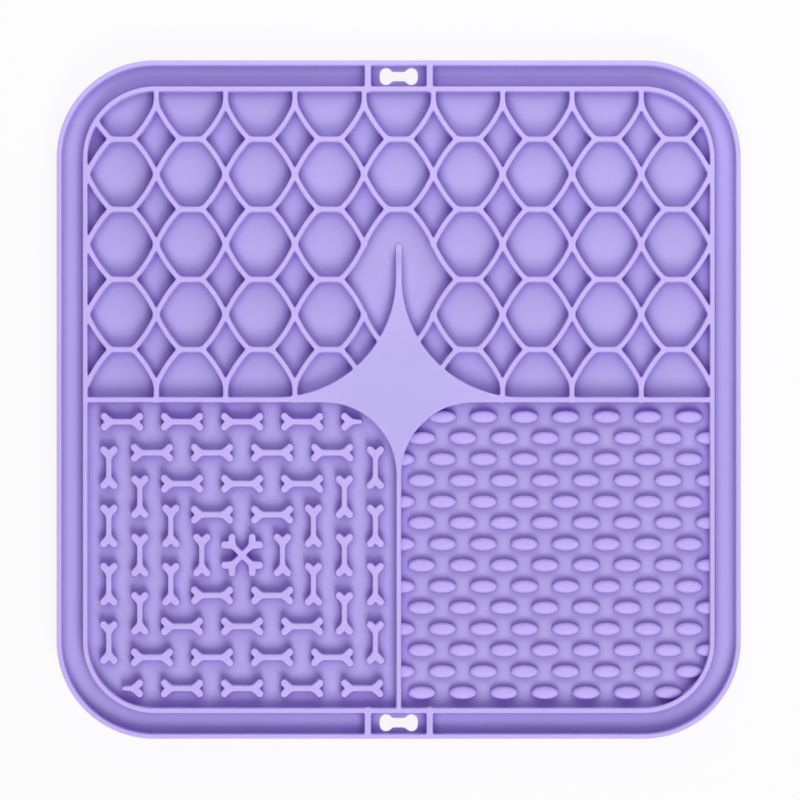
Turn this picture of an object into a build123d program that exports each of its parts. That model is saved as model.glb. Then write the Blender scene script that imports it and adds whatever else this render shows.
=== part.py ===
from build123d import *
import math
import os

# Silicone lick mat: a square sheet with a drip moat round three lick panels,
# honeycomb cells behind, bones in front on the left and oval nubs in front on the right.
# Millimetres, +Z up. The origin is on the table, under the middle of the mat, and +Y
# points to the honeycomb side.

# Sheet and wall height
mat_length = 200.0
mat_width = 198.4
mat_corner_r = 28.6
sheet_t = 2.0
wall_h = 5.0

# Rim, moat, ring wall and dividers
rim_t = 1.45
moat_w = 6.15
ring_t = 1.45
divider_t = 1.45

# Hanging places: two ribs across the moat and a bone-shaped hole between them
rib_t = 1.9
rib_spacing = 18.1
hole_length = 11.1
hole_waist = 2.75
hole_lobe_r = 1.84
hole_lobe_spread = 1.26

# Star in the middle
star_upper_r = 35.0
star_lower_r = 21.2
spike_t = 1.76
spike_length = 10.0
spike_ramp = 6.0
spike_tip_h = 0.6

# Honeycomb panel
cell_columns = 9
cell_rows = 5
cell_wall_t = 1.45
cell_bar_length = 6.6
cell_bow = 0.56
corner_bite = 0.2
stub_t = 1.5
stub_length = 3.7

# Bone panel
bone_h = 4.0
bone_length = 12.5
crossed_bone_length = 13.6
bone_stem_t = 1.65
bone_lobe_r = 1.05
bone_lobe_spread = 3.14
bone_rings = 4
bone_first_offset = 11.8
bone_side_gap = 3.5
bone_front_gap = 3.1
bone_row_end_gap = 3.72
bone_wall_gap = 1.0

# Oval panel
nub_length = 8.2
nub_width = 3.8
nub_h = 2.9
nub_fullness = 4.0
nub_section_angles = (0, 20, 45, 70, 88)
nub_pitch_x = 12.03
nub_pitch_y = 6.21
nub_rows = 14
nub_overhang = 1.0

# Suction cups under the sheet
cup_count = 5
cup_edge_gap = 14.6
cup_r = 9.0
cup_lip_w = 0.9
cup_lip_h = 0.5
cup_bell_h = 1.8
cup_crown_t = 0.9
cup_neck_r = 3.5
cup_neck_h = 0.7
cup_bulge = 0.45

# Heights
crown_z = cup_lip_h + cup_bell_h
sheet_bottom = crown_z + cup_neck_h
sheet_top = sheet_bottom + sheet_t
wall_top = sheet_top + wall_h

# Ring wall, concentric with the edge of the sheet
border = rim_t + moat_w
ring_length = mat_length - 2 * border
ring_width = mat_width - 2 * border
ring_corner_r = mat_corner_r - border
panel_half_x = ring_length / 2 - ring_t
panel_half_y = ring_width / 2 - ring_t
panel_corner_r = ring_corner_r - ring_t
moat_centre_y = ring_width / 2 + moat_w / 2

# Star outline: where its four arcs run out into the spike and the dividers
star_arm_end = spike_t / 2 + star_upper_r
star_shoulder = divider_t / 2 + star_upper_r
star_spike_end = star_shoulder + spike_length
star_foot = divider_t / 2 + star_lower_r

# Honeycomb lattice, filling the panel behind the divider
panel_depth = panel_half_y - divider_t / 2
column_pitch = 2 * (panel_half_x + corner_bite) / cell_columns
row_pitch = (panel_depth - 2 * stub_length) / (cell_rows - 1)
last_column = (cell_columns - 1) // 2
last_row = cell_rows - 1
star_cell_row = cell_rows // 2

# Front panels: middle and half size
front_panel_x = (panel_half_x + divider_t / 2) / 2
front_panel_y = -(panel_half_y + divider_t / 2) / 2
front_half_x = (panel_half_x - divider_t / 2) / 2
front_half_y = (panel_half_y - divider_t / 2) / 2

# Bone rings: the last one keeps its gaps to the walls and the others step evenly inwards
bone_half_w = bone_lobe_spread / 2 + bone_lobe_r
last_column_x = front_half_x - bone_side_gap - bone_half_w
last_row_y = front_half_y - bone_front_gap - bone_half_w
bone_row_pitch = 2 * (front_half_x - bone_row_end_gap - bone_length / 2) / bone_rings
bone_column_gap = (2 * (last_row_y - bone_half_w) - bone_rings * bone_length) / (bone_rings + 1)
bone_column_pitch = bone_length + bone_column_gap

# Suction cups, spread evenly so that the outer ones keep their gap to the edge of the sheet
cup_pitch_x = (mat_length - 2 * (cup_edge_gap + cup_r)) / (cup_count - 1)
cup_pitch_y = (mat_width - 2 * (cup_edge_gap + cup_r)) / (cup_count - 1)


def bone_plan(length, stem_t, lobe_r, lobe_spread):
    """Plan of a bone along X: a stem with a pair of round lobes spread at each end."""
    lobe_x = length / 2 - lobe_r
    lobe_y = lobe_spread / 2
    with BuildSketch() as plan:
        Rectangle(2 * (lobe_x - lobe_y), stem_t)
        for side_x in (-1, 1):
            for side_y in (-1, 1):
                with Locations((side_x * (lobe_x - lobe_y / 2), side_y * lobe_y / 2)):
                    SlotCenterToCenter(lobe_y * math.sqrt(2), 2 * lobe_r, rotation=side_x * side_y * 45)
    return plan.sketch


# Sheet under the three panels
with BuildPart() as field_floor:
    with BuildSketch(Plane.XY.offset(sheet_bottom)):
        RectangleRounded(ring_length, ring_width, ring_corner_r)
    extrude(amount=sheet_t)


def moat_floor(side_x):
    """Sheet under one half of the moat, from hanging place to hanging place."""
    with BuildPart() as floor:
        with BuildSketch(Plane.XY.offset(sheet_bottom)):
            RectangleRounded(mat_length, mat_width, mat_corner_r)
            RectangleRounded(ring_length, ring_width, ring_corner_r, mode=Mode.SUBTRACT)
            with Locations((side_x * (rib_spacing + mat_length) / 2, 0)):
                Rectangle(mat_length, mat_width, mode=Mode.INTERSECT)
        extrude(amount=sheet_t)
    return floor


def hang_tab(side_y):
    """Sheet between two ribs, with the bone-shaped hole that a hook goes through."""
    with BuildPart() as tab:
        with BuildSketch(Plane.XY.offset(sheet_bottom)):
            with Locations((0, side_y * (ring_width + border) / 2)):
                Rectangle(rib_spacing, border)
            with Locations((0, side_y * moat_centre_y)):
                hole_lobe_x = hole_length / 2 - hole_lobe_r
                Rectangle(2 * hole_lobe_x, hole_waist, mode=Mode.SUBTRACT)
                with GridLocations(2 * hole_lobe_x, hole_lobe_spread, 2, 2):
                    Circle(hole_lobe_r, mode=Mode.SUBTRACT)
        extrude(amount=sheet_t)
    return tab


# Outer rim, standing on the edge of the sheet
with BuildPart() as outer_rim:
    with BuildSketch(Plane.XY.offset(sheet_top)):
        RectangleRounded(mat_length, mat_width, mat_corner_r)
        RectangleRounded(
            mat_length - 2 * rim_t, mat_width - 2 * rim_t, mat_corner_r - rim_t, mode=Mode.SUBTRACT
        )
    extrude(amount=wall_h)

# Ring wall between the moat and the panels
with BuildPart() as ring_wall:
    with BuildSketch(Plane.XY.offset(sheet_top)):
        RectangleRounded(ring_length, ring_width, ring_corner_r)
        RectangleRounded(2 * panel_half_x, 2 * panel_half_y, panel_corner_r, mode=Mode.SUBTRACT)
    extrude(amount=wall_h)

# Four ribs across the moat
with BuildPart() as hang_ribs:
    with BuildSketch(Plane.XY.offset(sheet_top)):
        with GridLocations(rib_spacing, 2 * moat_centre_y, 2, 2):
            Rectangle(rib_t, moat_w)
    extrude(amount=wall_h)

# Star, whose arcs run tangent into the spike and the dividers
with BuildSketch() as star_plan:
    with BuildLine():
        for side_x in (-1, 1):
            Line((0, star_spike_end), (side_x * spike_t / 2, star_spike_end))
            Line((side_x * spike_t / 2, star_spike_end), (side_x * spike_t / 2, star_shoulder))
            CenterArc(
                (side_x * star_arm_end, star_shoulder), star_upper_r, 180 if side_x > 0 else 270, 90
            )
            Line((side_x * star_arm_end, divider_t / 2), (side_x * star_arm_end, -divider_t / 2))
            Line((side_x * star_arm_end, -divider_t / 2), (side_x * star_foot, -divider_t / 2))
            CenterArc((side_x * star_foot, -star_foot), star_lower_r, 90 if side_x > 0 else 0, 90)
            Line((side_x * divider_t / 2, -star_foot), (0, -star_foot))
    make_face()

with BuildPart() as centre_star:
    with BuildSketch(Plane.XY.offset(sheet_top)):
        add(star_plan.sketch)
    extrude(amount=wall_h)
    with BuildSketch(Plane.YZ):
        with BuildLine():
            Polyline(
                (star_spike_end - spike_ramp, wall_top),
                (star_spike_end, wall_top),
                (star_spike_end, sheet_top + spike_tip_h),
                close=True,
            )
        make_face()
    extrude(amount=spike_t, both=True, mode=Mode.SUBTRACT)


def side_divider(side_x):
    """Straight wall from one arm of the star to the ring wall."""
    with BuildPart() as divider:
        with BuildSketch(Plane.XY.offset(sheet_top)):
            with Locations((side_x * (star_arm_end + panel_half_x) / 2, 0)):
                Rectangle(panel_half_x - star_arm_end, divider_t)
        extrude(amount=wall_h)
    return divider


# Wall between the two front panels
with BuildPart() as divider_front:
    with BuildSketch(Plane.XY.offset(sheet_top)):
        with Locations((0, -(star_foot + panel_half_y) / 2)):
            Rectangle(divider_t, panel_half_y - star_foot)
    extrude(amount=wall_h)

# Room for the honeycomb: the back half of the ring, without the star
with BuildSketch() as cell_panel:
    RectangleRounded(2 * panel_half_x, 2 * panel_half_y, panel_corner_r)
    with Locations((0, divider_t / 2 - panel_half_y)):
        Rectangle(2 * panel_half_x, 2 * panel_half_y, mode=Mode.SUBTRACT)
    add(star_plan.sketch, mode=Mode.SUBTRACT)


def cell_middle(column, row):
    """Middle of a cell, columns counted from the middle of the mat and rows from the back."""
    back_row_y = panel_half_y - stub_length
    return column * column_pitch, back_row_y - row * row_pitch


def wall_plan(side_x, side_y):
    """Plan of a cell's bowed wall in one quarter of the cell, from its corner to its bar."""
    run_x = (column_pitch - cell_bar_length) / 2
    run_y = row_pitch / 2
    chord = math.hypot(run_x, run_y)
    bow_r = chord**2 / (8 * cell_bow) + cell_bow / 2
    middle_x = (column_pitch + cell_bar_length) / 4
    bow_x = middle_x - (bow_r - cell_bow) * run_y / chord
    bow_y = run_y / 2 - (bow_r - cell_bow) * run_x / chord
    with BuildSketch() as plan:
        with Locations((side_x * bow_x, side_y * bow_y)):
            Circle(bow_r + cell_wall_t / 2)
            Circle(bow_r - cell_wall_t / 2, mode=Mode.SUBTRACT)
        with Locations((side_x * column_pitch / 4, side_y * row_pitch / 4)):
            Rectangle(column_pitch / 2, row_pitch / 2, mode=Mode.INTERSECT)
        with Locations((0, side_y * row_pitch / 2)):
            Rectangle(cell_bar_length, cell_wall_t, mode=Mode.SUBTRACT)
    return plan.sketch


def cell_walls(side_x, side_y):
    """Walls of one slant, one solid a cell, left out where the star's cell is open."""
    open_row = star_cell_row if side_y < 0 else star_cell_row + 1
    rows = range(0, last_row) if side_y < 0 else range(1, cell_rows)
    middles = [
        cell_middle(column, row)
        for row in rows
        for column in range(-last_column, last_column + 1)
        if (column, row) != (0, open_row)
    ]
    with BuildPart() as walls:
        with BuildSketch(Plane.XY.offset(sheet_top)):
            with Locations(*middles):
                add(wall_plan(side_x, side_y))
            add(cell_panel.sketch, mode=Mode.INTERSECT)
        extrude(amount=wall_h)
    return walls


# Short bars between cells that stand one behind another
bar_middles = []
for row in range(last_row):
    for column in range(-last_column, last_column + 1):
        if (column, row) != (0, star_cell_row):
            cell_x, cell_y = cell_middle(column, row)
            bar_middles.append((cell_x, cell_y - row_pitch / 2))

with BuildPart() as cell_bars:
    with BuildSketch(Plane.XY.offset(sheet_top)):
        with Locations(*bar_middles):
            Rectangle(cell_bar_length, cell_wall_t)
        add(cell_panel.sketch, mode=Mode.INTERSECT)
    extrude(amount=wall_h)

# Stubs that tie the corners of the first and last rows to the ring wall and the divider
with BuildPart() as cell_stubs:
    with BuildSketch(Plane.XY.offset(sheet_top)):
        with Locations((0, panel_half_y - panel_depth / 2)):
            with GridLocations(column_pitch, panel_depth - stub_length, cell_columns - 1, 2):
                Rectangle(stub_t, stub_length)
        add(cell_panel.sketch, mode=Mode.INTERSECT)
    extrude(amount=wall_h)

# Two bones crossed in the middle of their panel
with BuildPart() as crossed_bones:
    with BuildSketch(Plane.XY.offset(sheet_top)):
        with Locations((-front_panel_x, front_panel_y)):
            for turn in (45, -45):
                add(bone_plan(crossed_bone_length, bone_stem_t, bone_lobe_r, bone_lobe_spread), rotation=turn)
    extrude(amount=bone_h)


def front_panel(side_x):
    """Room of one front panel: a front quarter inside the ring, without the star."""
    with BuildSketch() as panel:
        RectangleRounded(2 * panel_half_x, 2 * panel_half_y, panel_corner_r)
        with Locations((side_x * front_panel_x, front_panel_y)):
            Rectangle(2 * front_half_x, 2 * front_half_y, mode=Mode.INTERSECT)
        add(star_plan.sketch, mode=Mode.SUBTRACT)
    return panel.sketch


# Bones keep this much room to every wall and to the star
with BuildSketch() as bone_room:
    add(front_panel(-1))
    offset(amount=-bone_wall_gap, kind=Kind.INTERSECTION, mode=Mode.REPLACE)


def bone_ring(number):
    """One square ring of bones: rows along X, columns along Y, two corner bones halved in the last."""
    step = (number - 1) / (bone_rings - 1)
    column_x = bone_first_offset + step * (last_column_x - bone_first_offset)
    row_y = bone_first_offset + step * (last_row_y - bone_first_offset)
    plan = bone_plan(bone_length, bone_stem_t, bone_lobe_r, bone_lobe_spread)
    with BuildPart() as ring:
        with BuildSketch(Plane.XY.offset(sheet_top)):
            with Locations((-front_panel_x, front_panel_y)):
                with GridLocations(bone_row_pitch, 2 * row_y, number + 1, 2):
                    add(plan)
                with GridLocations(2 * column_x, bone_column_pitch, 2, number):
                    add(plan, rotation=90)
                if number == bone_rings:
                    cut_x = number * bone_row_pitch / 2 + bone_length / 2
                    with Locations((cut_x, row_y), (-cut_x, -row_y)):
                        Rectangle(bone_length, 2 * bone_half_w, mode=Mode.SUBTRACT)
            add(bone_room.sketch, mode=Mode.INTERSECT)
        extrude(amount=bone_h)
    return ring


# Room for the nubs, which run right up to the walls
nub_panel = front_panel(1)

# One nub: an oval button with steep sides and a full top, lofted through ovals that shrink
# towards the top
with BuildPart() as nub:
    for angle in nub_section_angles:
        shrink = math.cos(math.radians(angle)) ** (2 / nub_fullness)
        lift = math.sin(math.radians(angle)) ** (2 / nub_fullness)
        with BuildSketch(Plane.XY.offset(nub_h * lift)):
            Ellipse(shrink * nub_length / 2, shrink * nub_width / 2)
    loft(ruled=True)


def nub_rows_of(first_row):
    """Every second row of nubs, shifted a quarter pitch to its own side and cut by the walls."""
    shift = nub_pitch_x / 4 if first_row == 0 else -nub_pitch_x / 4
    reach = math.ceil(panel_half_x / nub_pitch_x)
    middles = []
    for row in range(first_row, nub_rows, 2):
        y = front_panel_y + ((nub_rows - 1) / 2 - row) * nub_pitch_y
        for column in range(-reach, reach + 1):
            x = front_panel_x + shift + column * nub_pitch_x
            if nub_panel.distance_to(Vertex(x, y, 0)) < nub_overhang:
                middles.append((x, y, sheet_top))
    with BuildPart() as nubs:
        with Locations(*middles):
            add(nub.part)
        with BuildSketch(Plane.XY.offset(sheet_top)):
            add(nub_panel)
        extrude(amount=wall_h, mode=Mode.INTERSECT)
    return nubs


# Necks that carry the suction cups
with BuildPart() as cup_necks:
    with BuildSketch(Plane.XY.offset(crown_z)):
        with GridLocations(cup_pitch_x, cup_pitch_y, cup_count, cup_count):
            Circle(cup_neck_r)
    extrude(amount=cup_neck_h)

# One bell: the thin domed skirt between the neck and the lip
with BuildPart() as bell:
    with BuildSketch(Plane.XZ):
        with BuildLine():
            skirt = math.hypot(cup_r - cup_neck_r, cup_bell_h)
            Polyline(
                (0, crown_z),
                (cup_neck_r, crown_z),
                (
                    (cup_neck_r + cup_r) / 2 + cup_bulge * cup_bell_h / skirt,
                    (crown_z + cup_lip_h) / 2 + cup_bulge * (cup_r - cup_neck_r) / skirt,
                ),
                (cup_r, cup_lip_h),
                (cup_r - cup_lip_w, cup_lip_h),
                (cup_neck_r, crown_z - cup_crown_t),
                (0, crown_z - cup_crown_t),
                close=True,
            )
        make_face()
    revolve(axis=Axis.Z)

with BuildPart() as cup_bells:
    with GridLocations(cup_pitch_x, cup_pitch_y, cup_count, cup_count):
        add(bell.part)

# Lips that seal on the table
with BuildPart() as cup_lips:
    with BuildSketch():
        with GridLocations(cup_pitch_x, cup_pitch_y, cup_count, cup_count):
            Circle(cup_r)
            Circle(cup_r - cup_lip_w, mode=Mode.SUBTRACT)
    extrude(amount=cup_lip_h)

pieces = {
    "field_floor": field_floor,
    "moat_floor_left": moat_floor(-1),
    "moat_floor_right": moat_floor(1),
    "hang_tab_back": hang_tab(1),
    "hang_tab_front": hang_tab(-1),
    "outer_rim": outer_rim,
    "ring_wall": ring_wall,
    "hang_ribs": hang_ribs,
    "centre_star": centre_star,
    "divider_left": side_divider(-1),
    "divider_right": side_divider(1),
    "divider_front": divider_front,
    "cell_walls_back_right": cell_walls(1, 1),
    "cell_walls_back_left": cell_walls(-1, 1),
    "cell_walls_front_right": cell_walls(1, -1),
    "cell_walls_front_left": cell_walls(-1, -1),
    "cell_bars": cell_bars,
    "cell_stubs": cell_stubs,
    "crossed_bones": crossed_bones,
    "oval_nubs_odd_rows": nub_rows_of(0),
    "oval_nubs_even_rows": nub_rows_of(1),
    "cup_necks": cup_necks,
    "cup_bells": cup_bells,
    "cup_lips": cup_lips,
}
for number in range(1, bone_rings + 1):
    pieces[f"bone_ring_{number}"] = bone_ring(number)

os.makedirs("parts", exist_ok=True)
for name, piece in pieces.items():
    piece.part.label = name
    export_step(piece.part, f"parts/{name}.step")
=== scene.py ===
"""Dressed model of a silicone lick mat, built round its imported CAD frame.

Plans are drawn in millimetres, like the mat's own sizes, and meshes are made in metres in the CAD
frame: the origin is on the table under the middle of the mat, and +Y points to the honeycomb side.
"""

import logging
import math
from collections.abc import Callable, Iterable, Mapping, Sequence
from dataclasses import dataclass, field
from enum import Enum

import bpy
import numpy as np
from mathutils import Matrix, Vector
from mathutils.geometry import delaunay_2d_cdt


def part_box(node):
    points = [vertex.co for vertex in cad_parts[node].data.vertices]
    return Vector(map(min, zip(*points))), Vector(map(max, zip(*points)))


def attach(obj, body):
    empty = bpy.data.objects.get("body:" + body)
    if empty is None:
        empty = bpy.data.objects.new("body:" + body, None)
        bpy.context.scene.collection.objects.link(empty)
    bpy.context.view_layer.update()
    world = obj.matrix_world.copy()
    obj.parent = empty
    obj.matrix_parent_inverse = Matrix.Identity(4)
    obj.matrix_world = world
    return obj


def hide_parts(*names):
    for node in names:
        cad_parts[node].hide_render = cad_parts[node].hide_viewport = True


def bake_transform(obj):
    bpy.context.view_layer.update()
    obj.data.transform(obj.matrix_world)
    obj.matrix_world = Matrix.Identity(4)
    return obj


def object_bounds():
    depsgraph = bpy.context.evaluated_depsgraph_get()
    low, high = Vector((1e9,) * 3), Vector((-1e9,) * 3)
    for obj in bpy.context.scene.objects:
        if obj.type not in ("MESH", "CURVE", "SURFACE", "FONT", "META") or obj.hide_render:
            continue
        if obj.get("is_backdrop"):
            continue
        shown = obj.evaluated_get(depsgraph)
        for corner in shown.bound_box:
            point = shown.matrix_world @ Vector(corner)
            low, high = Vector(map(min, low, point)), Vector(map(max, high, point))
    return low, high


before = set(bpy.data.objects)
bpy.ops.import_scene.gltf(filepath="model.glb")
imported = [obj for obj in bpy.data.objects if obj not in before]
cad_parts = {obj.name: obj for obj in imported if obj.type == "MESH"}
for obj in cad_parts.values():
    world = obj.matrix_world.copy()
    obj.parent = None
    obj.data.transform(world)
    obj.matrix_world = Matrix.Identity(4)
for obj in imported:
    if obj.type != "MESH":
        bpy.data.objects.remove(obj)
CAD_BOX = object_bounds()

LOG = logging.getLogger("lick_mat")
MM = 0.001
RISE = "rise"
WHITE = (1.0, 1.0, 1.0, 1.0)

# Smallest sum of a plan, length of a run and gap between the points of a cap
LEAST_SUM, LEAST_RUN, LEAST_GAP = 1e-60, 1e-9, 1e-5

# Sockets of a mix node that take and give colours
MIX_ONE, MIX_OTHER, MIX_RESULT = 6, 7, 2

Point = tuple[float, float]
Colour = tuple[float, float, float]
Edge = tuple[int, int]
Triangle = tuple[int, int, int]
Distance = Callable[[np.ndarray, np.ndarray], np.ndarray]
Sockets = Mapping[str, bpy.types.NodeSocket]
Feed = bpy.types.NodeSocket | float | tuple[float, ...]


class Body(Enum):
    """Bodies of the frame that pieces ride on."""

    MAT = "mat"
    LIPS = "suction_lips"


class Side(Enum):
    """Sides of the mat, as the sign of the axis that points there."""

    LEFT = -1
    RIGHT = 1


class Socket(Enum):
    """Kinds of socket on a shader node group."""

    COLOUR = "NodeSocketColor"
    VALUE = "NodeSocketFloat"


def node_box(node: str) -> tuple[np.ndarray, np.ndarray]:
    """Lowest and highest corner of a CAD node.

    Args:
        node: Name of the node.

    Returns:
        The two corners in millimetres.
    """
    low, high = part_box(node)
    return np.array(low) / MM, np.array(high) / MM


@dataclass(frozen=True)
class MatSizes:
    """Sizes in millimetres that the sub-assemblies share, the outer ones read from the frame."""

    mat_half_x: float
    mat_half_y: float
    ring_half_x: float
    ring_half_y: float
    sheet_bottom: float
    sheet_top: float
    wall_top: float
    mat_corner_r: float = 28.6
    wall_t: float = 1.45
    star_lower_r: float = 21.2

    @classmethod
    def from_frame(cls) -> "MatSizes":
        """Reads the outer sizes from the boxes of the rim, the ring wall and the floor.

        Returns:
            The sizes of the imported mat.
        """
        rim = node_box("outer_rim")[1]
        ring = node_box("ring_wall")[1]
        low, high = node_box("field_floor")
        return cls(rim[0], rim[1], ring[0], ring[1], low[2], high[2], rim[2])

    @property
    def ring_corner_r(self) -> float:
        """Outer corner radius of the ring wall, concentric with the rim."""
        return self.mat_corner_r - (self.mat_half_x - self.ring_half_x)

    @property
    def panel_half_x(self) -> float:
        """Half length of the room inside the ring wall."""
        return self.ring_half_x - self.wall_t

    @property
    def panel_half_y(self) -> float:
        """Half width of the room inside the ring wall."""
        return self.ring_half_y - self.wall_t

    @property
    def front_half(self) -> tuple[float, float]:
        """Half size of a front panel."""
        return (self.panel_half_x - self.wall_t / 2) / 2, (self.panel_half_y - self.wall_t / 2) / 2

    def front_middle(self, side: Side) -> Point:
        """Middle of the front panel on one side."""
        half_t = self.wall_t / 2
        return side.value * (self.panel_half_x + half_t) / 2, -(self.panel_half_y + half_t) / 2


def rounded_box_distance(x: np.ndarray, y: np.ndarray, half: Point, radius: float) -> np.ndarray:
    """Signed distance to a rounded rectangle round the origin.

    Args:
        x: X of the points.
        y: Y of the points.
        half: Half length and half width of the rectangle.
        radius: Radius of its corners.

    Returns:
        The distances, negative inside.
    """
    out_x = np.abs(x) - (half[0] - radius)
    out_y = np.abs(y) - (half[1] - radius)
    corner = np.hypot(np.maximum(out_x, 0), np.maximum(out_y, 0))
    return corner + np.minimum(np.maximum(out_x, out_y), 0) - radius


def bar_distance(
    x: np.ndarray, y: np.ndarray, start: Point, end: Point, start_r: float, end_r: float | None = None
) -> np.ndarray:
    """Signed distance to a round-ended bar, which may taper.

    Args:
        x: X of the points.
        y: Y of the points.
        start: Middle of one round end.
        end: Middle of the other.
        start_r: Radius at the start.
        end_r: Radius at the end, the same as at the start if left out.

    Returns:
        The distances, negative inside the bar.
    """
    run_x, run_y = end[0] - start[0], end[1] - start[1]
    reach = ((x - start[0]) * run_x + (y - start[1]) * run_y) / (run_x**2 + run_y**2)
    reach = np.clip(reach, 0, 1)
    radius = start_r if end_r is None else start_r + (end_r - start_r) * reach
    return np.hypot(x - start[0] - reach * run_x, y - start[1] - reach * run_y) - radius


def bow_distance(
    x: np.ndarray, y: np.ndarray, start: Point, end: Point, bow: float, half_t: float
) -> np.ndarray:
    """Signed distance to a wall along an arc that bows to the right of the way from start to end.

    Args:
        x: X of the points.
        y: Y of the points.
        start: One end of the arc.
        end: The other end.
        bow: How far the arc stands off its chord.
        half_t: Half the thickness of the wall.

    Returns:
        The distances, negative inside the wall.
    """
    run_x, run_y = end[0] - start[0], end[1] - start[1]
    chord = math.hypot(run_x, run_y)
    radius = chord**2 / (8 * bow) + bow / 2
    middle_x = (start[0] + end[0]) / 2 - (radius - bow) * run_y / chord
    middle_y = (start[1] + end[1]) / 2 + (radius - bow) * run_x / chord
    from_x, from_y = x - middle_x, y - middle_y
    start_x, start_y = start[0] - middle_x, start[1] - middle_y
    end_x, end_y = end[0] - middle_x, end[1] - middle_y
    between = (start_x * from_y - start_y * from_x >= 0) & (from_x * end_y - from_y * end_x >= 0)
    to_arc = np.abs(np.hypot(from_x, from_y) - radius)
    to_start = np.hypot(from_x - start_x, from_y - start_y)
    to_end = np.hypot(from_x - end_x, from_y - end_y)
    return np.where(between, to_arc, np.minimum(to_start, to_end)) - half_t


def thin_out(points: np.ndarray, tolerance: float) -> np.ndarray:
    """Drops the points of a closed outline that lie within a tolerance of the line without them.

    Args:
        points: Outline, one row a point.
        tolerance: Largest distance of a dropped point from the outline that stays.

    Returns:
        The points that stay, in order.
    """
    count = len(points)
    far = int(np.argmax(np.hypot(*(points - points[0]).T)))
    keep = {0, far}
    spans = [(0, far), (far, count)]
    while spans:
        first, last = spans.pop()
        if last - first < 2:
            continue
        start, end = points[first], points[last % count]
        run = end - start
        off = points[first + 1 : last] - start
        length = max(float(np.hypot(*run)), LEAST_RUN)
        distance = np.abs(off[:, 0] * run[1] - off[:, 1] * run[0]) / length
        worst = int(np.argmax(distance))
        if distance[worst] > tolerance:
            middle = first + 1 + worst
            keep.add(middle)
            spans += [(first, middle), (middle, last)]
    return points[sorted(keep)]


def divide(points: np.ndarray, longest: float) -> np.ndarray:
    """Divides the long sides of a closed outline evenly.

    Args:
        points: Outline, one row a point.
        longest: Longest side that stays whole.

    Returns:
        The outline with the added points.
    """
    made = []
    for start, end in zip(points, np.roll(points, -1, axis=0)):
        parts = max(1, math.ceil(float(np.hypot(*(end - start))) / longest))
        made += [start + (end - start) * part / parts for part in range(parts)]
    return np.array(made)


def signed_area(points: np.ndarray) -> float:
    """Area inside a closed outline, positive where it runs anticlockwise."""
    x, y = points.T
    return float(np.sum(x * np.roll(y, -1) - y * np.roll(x, -1)) / 2)


@dataclass(frozen=True)
class Outline:
    """Closed plan line with the wall on its left, and the directions that point into the wall."""

    points: np.ndarray
    inward: np.ndarray

    def moved(self, shift: Point) -> "Outline":
        """The same outline in another place."""
        return Outline(self.points + shift, self.inward)

    def turned_over(self) -> "Outline":
        """The same line with the wall on its other side."""
        return Outline(self.points[::-1], -self.inward[::-1])


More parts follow.
